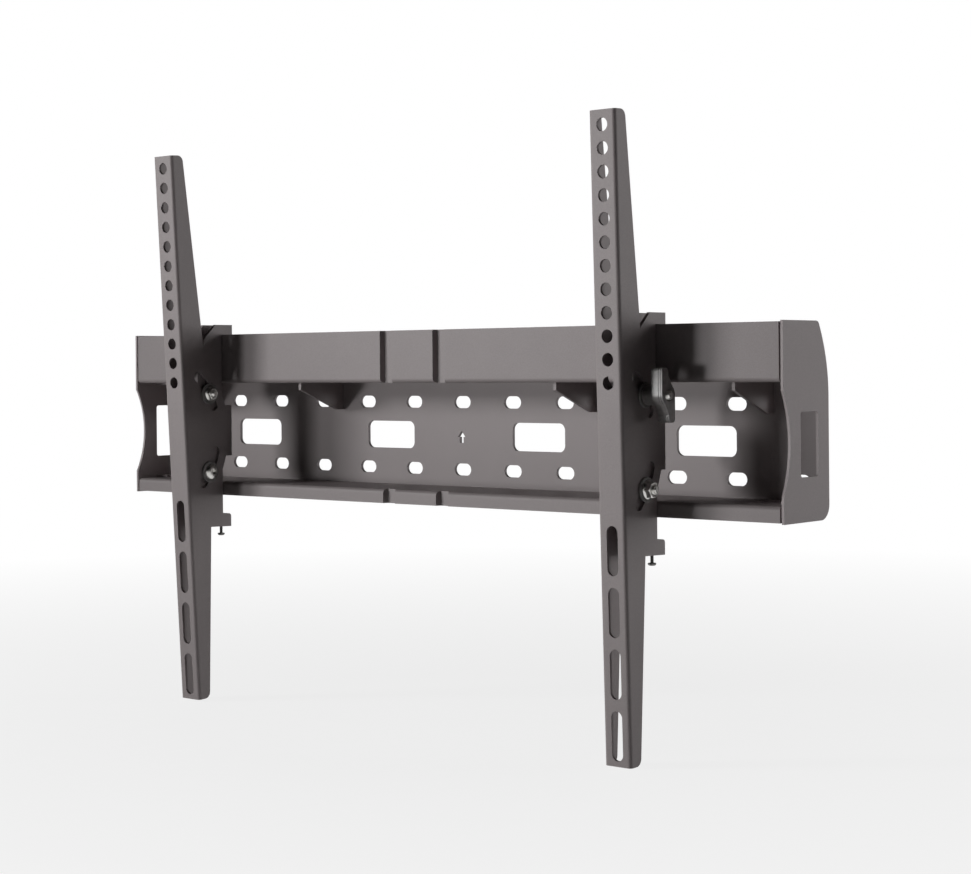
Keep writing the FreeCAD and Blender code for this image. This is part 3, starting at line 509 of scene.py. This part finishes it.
def dress(piece, material, slot, body, *nodes):
    """Hand a finished piece to its body, its finish and the nodes that it stands for."""
    choose(piece)
    bpy.ops.object.shade_smooth_by_angle(angle=SHARP_EDGE)
    piece.data.materials.clear()
    piece.data.materials.append(material)
    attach(piece, body)
    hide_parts(*nodes)


def copy_of(piece, name):
    """A second piece with its own mesh."""
    twin = piece.copy()
    twin.data = piece.data.copy()
    twin.name = name
    bpy.context.scene.collection.objects.link(twin)
    return twin


def pin_centre(side, level):
    """Where a tilt pin crosses the arm's middle plane."""
    low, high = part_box(f"{level}_washers_{side}")
    return (low + high) / 2.0


def washer_face():
    """The washers' outer faces, from the arm's middle plane."""
    return extent("upper_washers_right").x / 2.0


class MOUNT_OT_steel_coats(Operator):
    """Powder coat the rail, gussets, end caps, arms and hangers"""

    bl_idname = "mount.steel_coats"
    bl_label = "Steel coats"

    def execute(self, context):
        finishes = context.scene.mount_finishes
        # The three brightnesses of the one coat are painted light and shade, not different coats.
        for slot, base in (
            ("rail_steel", finishes.rail), ("cap_steel", finishes.cap), ("arm_steel", finishes.arm),
        ):
            coat_nodes(powder_coat(f"{slot}_coat", base, finishes), STEEL_NODES[slot])
        return {"FINISHED"}


class MOUNT_OT_clamp_knobs(Operator):
    """Model the winged clamp knobs"""

    bl_idname = "mount.clamp_knobs"
    bl_label = "Clamp knobs"

    def execute(self, context):
        sizes = context.scene.mount_hardware
        finishes = context.scene.mount_finishes
        material = moulded_plastic("knob_plastic_grain", finishes.plastic, 0.24, 0.0005)
        near = washer_face() + sizes.hub_long
        far = near + sizes.wing_thick
        rings = self.edge_rings(sizes, near, far)
        half_long = sizes.knob_long / 2.0
        half_wide = sizes.knob_wide / 2.0
        wing_side = half_wide - sizes.wing_wide
        web_round = 0.0003
        root = -sizes.wing_round
        wing = (
            (root, wing_side), (half_long, wing_side + sizes.wing_taper),
            (half_long, half_wide), (root, half_wide),
        )
        low_side, high_side = -0.85 * half_wide, 0.7 * half_wide
        slope_start, slope_end = 0.3 * half_wide, 1.8 * half_wide
        web = (
            (0.0, low_side), (slope_start, low_side),
            (slope_end, wing_side + 0.8 * sizes.wing_taper), (slope_end, high_side),
            (0.0, high_side),
        )
        profile = [(height, half_wide - inset) for height, inset in rings]
        boss = turned("knob", profile, sizes.around)
        for side in (1.0, -1.0):
            for shape, rounding in ((wing, sizes.wing_round), (web, web_round)):
                outline = [(side * x, side * y) for x, y in shape]
                boss = combine(boss, prism("wing", outline, rounding, rings), "UNION")
        foot, foot_top = washer_face() + 0.0001, washer_face() + 0.0007
        inside_boss = near + 0.0012
        hub = turned("knob_hub", [
            (foot, sizes.hub_radius - 0.0006), (foot_top, sizes.hub_radius),
            (inside_boss, sizes.hub_radius),
        ], sizes.around)
        knob = combine(boss, hub, "UNION")
        bore_radius = sizes.outer_thread / 2.0 + BORE_GAP
        mouth_radius = sizes.outer_thread / 2.0 + 0.0014
        mouth_deep, mouth_over = 0.001, 0.0004
        bore = turned("knob_bore", [
            (0.0, bore_radius), (far - mouth_deep, bore_radius),
            (far + mouth_over, mouth_radius), (far + BEYOND, mouth_radius),
        ], sizes.around)
        knob = combine(knob, bore, "DIFFERENCE")
        for side in SIDES:
            piece = copy_of(knob, f"wing_knob_{side}")
            set_on_axis(piece, pin_centre(side, "upper"), OUTWARD[side])
            dress(piece, material, "knob_plastic", f"knob_{side}", f"clamp_knob_{side}")
        bpy.data.objects.remove(knob)
        return {"FINISHED"}

    def edge_rings(self, sizes, near, far):
        """Heights and insets along the pin: chamfered edges, and two lines near the outer one."""
        rings = [(near, sizes.wing_edge), (near + sizes.wing_edge, 0.0)]
        for step in (1.0, 0.0):
            middle = far - sizes.line_first - step * sizes.line_apart
            rings += [
                (middle - sizes.line_wide / 2.0, 0.0),
                (middle - sizes.line_wide / 4.0, sizes.line_deep),
                (middle + sizes.line_wide / 4.0, sizes.line_deep),
                (middle + sizes.line_wide / 2.0, 0.0),
            ]
        return rings + [(far - sizes.wing_edge, 0.0), (far, sizes.wing_edge)]


class MOUNT_OT_tilt_pins(Operator):
    """Model the threaded tilt pins, the lower ones with a domed socket head"""

    bl_idname = "mount.tilt_pins"
    bl_label = "Tilt pins"

    def execute(self, context):
        sizes = context.scene.mount_hardware
        face = washer_face()
        shank = sizes.pin_shank / 2.0
        outer = sizes.outer_thread / 2.0
        inner = sizes.inner_thread / 2.0
        chamfer = 0.0004
        inside_shank = 1.4 * chamfer
        lead_in = 0.0006
        low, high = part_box("upper_pin_right")
        centre = pin_centre("right", "upper")
        stub = centre.x - low.x
        tail = high.x - centre.x
        stud = nest("stud", [
            turned("stud_shank", [
                (-face, shank - chamfer), (chamfer - face, shank),
                (face - chamfer, shank), (face, shank - chamfer),
            ], sizes.around),
            thread("stud_tail", face - chamfer, tail - lead_in, outer, sizes.pitch, sizes.around),
            self.threaded_end("stud_end", face, tail, outer, sizes.around),
            thread(
                "stud_stub", 0.0005 - stub, inside_shank - face, inner, sizes.pitch, sizes.around,
            ),
            turned("stub_end", [
                (-stub, inner - 0.0009), (lead_in - stub, inner - THREAD_ROOT),
                (-face, inner - 0.0006),
            ], sizes.around),
        ])
        low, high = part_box("lower_pin_right")
        centre = pin_centre("right", "lower")
        crown = centre.x - low.x
        tail = high.x - centre.x
        head_radius = extent("lower_pin_right").y / 2.0
        profile = [(depth - crown, head_radius * share) for depth, share in BOLT_DOME]
        head = turned("head", profile + [(-face, head_radius)], sizes.around)
        socket_corner, socket_deep = 0.0023, 0.0014
        socket = turned("socket", [
            (-crown - BEYOND, socket_corner), (socket_deep - crown, socket_corner),
        ], 6)
        head = combine(head, socket, "DIFFERENCE")
        bolt = nest("bolt", [
            head,
            turned("bolt_shank", [
                (-face, shank), (face - chamfer, shank), (face, shank - chamfer),
            ], sizes.around),
            thread("bolt_tail", face - chamfer, tail - lead_in, outer, sizes.pitch, sizes.around),
            self.threaded_end("bolt_end", face, tail, outer, sizes.around),
        ])
        material = bright_zinc("zinc_plate", context.scene.mount_finishes.zinc)
        for side in SIDES:
            for level, model in (("upper", stud), ("lower", bolt)):
                piece = copy_of(model, f"{level}_tilt_pin_{side}")
                set_on_axis(piece, pin_centre(side, level), OUTWARD[side])
                dress(piece, material, "zinc_hardware", f"carriage_{side}", f"{level}_pin_{side}")
        for model in (stud, bolt):
            bpy.data.objects.remove(model)
        return {"FINISHED"}

    def threaded_end(self, name, face, tail, radius, around):
        """The core of an outer thread, with its chamfered end."""
        return turned(name, [
            (face, radius - 0.0006), (tail - 0.0007, radius - THREAD_ROOT), (tail, radius - 0.001),
        ], around)


class MOUNT_OT_flange_nuts(Operator):
    """Model the flange nuts on the pins"""

    bl_idname = "mount.flange_nuts"
    bl_label = "Flange nuts"

    def execute(self, context):
        sizes = context.scene.mount_hardware
        material = bpy.data.materials["zinc_plate"]
        kinds = (
            ("lower", 1.0, sizes.outer_flats, sizes.outer_thread),
            ("upper", -1.0, sizes.inner_flats, sizes.inner_thread),
        )
        base = washer_face()
        inside_flange, crown_deep, chamfer = 0.0002, 0.0011, 0.0003
        mouth_deep, mouth_over = 0.0006, 0.0002
        for level, facing, flats, bore in kinds:
            size = extent(f"{level}_nut_right")
            top = base + size.x
            flange = size.y / 2.0
            corner = flats / math.sqrt(3.0)
            block = turned("block", [(base + inside_flange, corner), (top, corner)], 6)
            crown = turned("crown", [
                (base, corner + 0.001), (top - crown_deep, corner + 0.0004),
                (top, flats / 2.0 - 0.0002),
            ], sizes.around)
            block = combine(block, crown, "INTERSECT")
            plate_top = base + sizes.flange_thick
            plate = turned("plate", [
                (base, flange - chamfer), (base + chamfer, flange),
                (base + sizes.flange_thick * 0.6, flange), (plate_top, flange - 0.0005),
                (plate_top + 0.0006, flats / 2.0),
            ], sizes.around)
            nut = combine(plate, block, "UNION")
            bore_radius = bore / 2.0 + BORE_GAP
            mouth_radius = bore / 2.0 + 0.0007
            hole = turned("hole", [
                (base - BEYOND, bore_radius), (top - mouth_deep, bore_radius),
                (top + mouth_over, mouth_radius), (top + BEYOND, mouth_radius),
            ], sizes.around)
            nut = combine(nut, hole, "DIFFERENCE")
            for side in SIDES:
                piece = copy_of(nut, f"{level}_flange_nut_{side}")
                set_on_axis(piece, pin_centre(side, level), OUTWARD[side] * facing)
                dress(piece, material, "zinc_hardware", f"carriage_{side}", f"{level}_nut_{side}")
            bpy.data.objects.remove(nut)
        return {"FINISHED"}


class MOUNT_OT_friction_washers(Operator):
    """Model the nylon washers on both sides of the arms"""

    bl_idname = "mount.friction_washers"
    bl_label = "Friction washers"

    def execute(self, context):
        sizes = context.scene.mount_hardware
        material = moulded_plastic("nylon", context.scene.mount_finishes.nylon, 0.42, 0.0004)
        outer = extent("upper_washers_right").y / 2.0
        face = washer_face()
        arm_side = extent("arm_right").x / 2.0 + 0.0001
        chamfer = 0.0003
        bore_radius = sizes.pin_shank / 2.0 + BORE_GAP
        rings = []
        for facing in (1.0, -1.0):
            ring = turned("ring", [
                (facing * arm_side, outer - chamfer), (facing * (arm_side + chamfer), outer),
                (facing * (face - chamfer), outer), (facing * face, outer - chamfer),
            ], sizes.around)
            hole = turned("hole", [
                (facing * (arm_side - BEYOND), bore_radius),
                (facing * (face + BEYOND), bore_radius),
            ], sizes.around)
            rings.append(combine(ring, hole, "DIFFERENCE"))
        pair = nest("washers", rings)
        for side in SIDES:
            for level in ("upper", "lower"):
                piece = copy_of(pair, f"{level}_friction_washers_{side}")
                set_on_axis(piece, pin_centre(side, level), OUTWARD[side])
                dress(
                    piece, material, "washer_plastic", f"carriage_{side}",
                    f"{level}_washers_{side}",
                )
        bpy.data.objects.remove(pair)
        return {"FINISHED"}


class MOUNT_OT_lock_screws(Operator):
    """Model the locking screws below the hangers"""

    bl_idname = "mount.lock_screws"
    bl_label = "Locking screws"

    def execute(self, context):
        sizes = context.scene.mount_hardware
        material = bright_zinc("dark_plate", context.scene.mount_finishes.dark_plate)
        low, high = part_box("lock_screw_right")
        long = high.z - low.z
        radius = sizes.lock_thread / 2.0
        head_radius = (high.x - low.x) / 2.0
        around = sizes.around // 2
        head_thick, chamfer = 0.0018, 0.0002
        profile = [(depth, head_radius * share) for depth, share in SCREW_DOME]
        head = turned("screw_head", profile + [(head_thick, head_radius - chamfer)], sizes.around)
        for turn in (0.0, math.pi / 2.0):
            deselect()
            bpy.ops.mesh.primitive_cube_add(
                size=1.0, location=(0.0, 0.0, 0.0002), rotation=(0.0, 0.0, turn),
            )
            slot = context.object
            slot.scale = (0.003, 0.0007, 0.0016)
            keep_place(slot)
            head = combine(head, slot, "DIFFERENCE")
        screw = nest("screw", [
            head,
            thread("screw_thread", 0.0014, long - 0.0006, radius, sizes.lock_pitch, around),
            turned("screw_tip", [
                (0.0015, radius - 0.00045), (long - 0.0007, radius - 0.00035),
                (long, radius - 0.0007),
            ], around),
        ])
        for side in SIDES:
            low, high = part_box(f"lock_screw_{side}")
            piece = copy_of(screw, f"locking_screw_{side}")
            piece.location = ((low.x + high.x) / 2.0, (low.y + high.y) / 2.0, low.z)
            keep_place(piece)
            dress(piece, material, "dark_screw", f"lock_{side}", f"lock_screw_{side}")
        bpy.data.objects.remove(screw)
        return {"FINISHED"}


class MOUNT_OT_stage(Operator):
    """Set the floor, the lamps and the camera"""

    bl_idname = "mount.stage"
    bl_label = "Studio stage"

    def execute(self, context):
        stage = context.scene.mount_stage
        scene = context.scene
        floor_size, below = 60.0, 0.0005
        floor_height = CAD_BOX[0][2] - below
        deselect()
        bpy.ops.mesh.primitive_plane_add(size=floor_size, location=(0.0, 0.0, floor_height))
        floor = context.object
        floor.name = "studio_floor"
        keep_place(floor)
        floor.data.materials.append(self.floor_material())
        self.make_world(scene)
        # Each lamp's place, the spot that it points at, its width, spread and power
        for name, place, aim, size, spread, power in (
            ("low", (-1.0, -1.75, -0.1), (0.15, -0.05, 0.15), 0.3, 45.0, stage.low_power),
            ("key", (-1.75, -1.8, 0.66), (0.15, -0.05, 0.15), 0.6, 45.0, stage.key_power),
            ("rim", (1.65, 1.15, 0.25), (0.15, -0.05, 0.35), 1.0, 60.0, stage.rim_power),
        ):
            bpy.ops.object.light_add(type="AREA", location=place)
            lamp = context.object
            lamp.name = f"{name}_lamp"
            lamp.data.size = size
            lamp.data.spread = math.radians(spread)
            lamp.data.energy = power
            lamp.rotation_euler = (Vector(aim) - Vector(place)).to_track_quat("-Z", "Y").to_euler()
        turn = (
            Matrix.Rotation(stage.camera_heading, 3, "Z")
            @ Matrix.Rotation(math.pi / 2.0 + stage.camera_lift, 3, "X")
            @ Matrix.Rotation(stage.camera_roll, 3, "Z")
        )
        bpy.ops.object.camera_add(location=stage.camera_place, rotation=turn.to_euler())
        camera = context.object
        camera.data.sensor_width = 36.0
        camera.data.lens = stage.focal_length
        camera.data.shift_x = stage.shift[0]
        camera.data.shift_y = stage.shift[1]
        camera.data.clip_start = 0.01
        scene.camera = camera
        scene.view_settings.view_transform = "Standard"
        return {"FINISHED"}

    def floor_material(self):
        """White floor that keeps shadows near the mount and turns plain white further out."""
        material, shader = new_material("studio_white")
        tree = material.node_tree
        speck = add_noise(tree, 0.02, 3.0, 0.5)
        tone = add_ramp(tree, speck, 0.3, 0.7, (0.86, 0.86, 0.86, 1.0), (0.9, 0.9, 0.9, 1.0))
        tree.links.new(tone, shader.inputs["Base Color"])
        shader.inputs["Roughness"].default_value = 0.9
        coordinates = tree.nodes.new("ShaderNodeTexCoord")
        distance = tree.nodes.new("ShaderNodeVectorMath")
        distance.operation = "LENGTH"
        tree.links.new(coordinates.outputs["Object"], distance.inputs[0])
        fade = tree.nodes.new("ShaderNodeMapRange")
        tree.links.new(distance.outputs["Value"], fade.inputs["Value"])
        for socket, value in (
            ("From Min", 0.3), ("From Max", 1.4), ("To Min", 0.82), ("To Max", 1.0),
        ):
            fade.inputs[socket].default_value = value
        path = tree.nodes.new("ShaderNodeLightPath")
        seen = tree.nodes.new("ShaderNodeMath")
        seen.operation = "MAXIMUM"
        tree.links.new(path.outputs["Is Camera Ray"], seen.inputs[0])
        tree.links.new(path.outputs["Is Glossy Ray"], seen.inputs[1])
        share = tree.nodes.new("ShaderNodeMath")
        share.operation = "MULTIPLY"
        tree.links.new(seen.outputs["Value"], share.inputs[0])
        tree.links.new(fade.outputs["Result"], share.inputs[1])
        glow = tree.nodes.new("ShaderNodeEmission")
        glow.inputs["Color"].default_value = (1.0, 1.0, 1.0, 1.0)
        glow.inputs["Strength"].default_value = 1.0
        blend = tree.nodes.new("ShaderNodeMixShader")
        tree.links.new(share.outputs["Value"], blend.inputs["Fac"])
        tree.links.new(shader.outputs["BSDF"], blend.inputs[1])
        tree.links.new(glow.outputs["Emission"], blend.inputs[2])
        tree.links.new(blend.outputs["Shader"], tree.nodes["Material Output"].inputs["Surface"])
        return material

    def make_world(self, scene):
        """Plain white behind everything that the camera sees; the lamps alone light the mount."""
        world = bpy.data.worlds.new("studio_world")
        world.use_nodes = True
        tree = world.node_tree
        backdrop = tree.nodes["Background"]
        backdrop.inputs["Color"].default_value = (1.0, 1.0, 1.0, 1.0)
        path = tree.nodes.new("ShaderNodeLightPath")
        seen = tree.nodes.new("ShaderNodeMath")
        seen.operation = "MAXIMUM"
        tree.links.new(path.outputs["Is Camera Ray"], seen.inputs[0])
        tree.links.new(path.outputs["Is Transmission Ray"], seen.inputs[1])
        tree.links.new(seen.outputs["Value"], backdrop.inputs["Strength"])
        scene.world = world


class MOUNT_PT_sidebar(Panel):
    """Lists the mount's settings and steps"""

    bl_idname = "MOUNT_PT_sidebar"
    bl_label = "Tilting wall mount"
    bl_space_type = "VIEW_3D"
    bl_region_type = "UI"
    bl_category = "Mount"

    def draw(self, context):
        layout = self.layout
        for step in STEPS:
            layout.operator(step.bl_idname)
        for group in (
            context.scene.mount_finishes, context.scene.mount_hardware, context.scene.mount_stage,
        ):
            column = layout.box().column()
            for setting in group.bl_rna.properties:
                if setting.identifier not in {"rna_type", "name"}:
                    column.prop(group, setting.identifier)


STEPS = (
    MOUNT_OT_steel_coats, MOUNT_OT_clamp_knobs, MOUNT_OT_tilt_pins, MOUNT_OT_flange_nuts,
    MOUNT_OT_friction_washers, MOUNT_OT_lock_screws, MOUNT_OT_stage,
)
GROUPS = (MountFinishes, MountHardware, MountStage)


def register():
    """Add the settings, the steps and the panel."""
    for item in GROUPS + STEPS + (MOUNT_PT_sidebar,):
        bpy.utils.register_class(item)
    bpy.types.Scene.mount_finishes = PointerProperty(type=MountFinishes)
    bpy.types.Scene.mount_hardware = PointerProperty(type=MountHardware)
    bpy.types.Scene.mount_stage = PointerProperty(type=MountStage)


def unregister():
    """Take them out again."""
    del bpy.types.Scene.mount_stage
    del bpy.types.Scene.mount_hardware
    del bpy.types.Scene.mount_finishes
    for item in reversed(GROUPS + STEPS + (MOUNT_PT_sidebar,)):
        bpy.utils.unregister_class(item)


def main():
    """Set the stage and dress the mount."""
    register()
    bpy.ops.mount.stage()
    bpy.ops.mount.steel_coats()
    bpy.ops.mount.clamp_knobs()
    bpy.ops.mount.tilt_pins()
    bpy.ops.mount.flange_nuts()
    bpy.ops.mount.friction_washers()
    bpy.ops.mount.lock_screws()


if __name__ == "__main__":
    main()
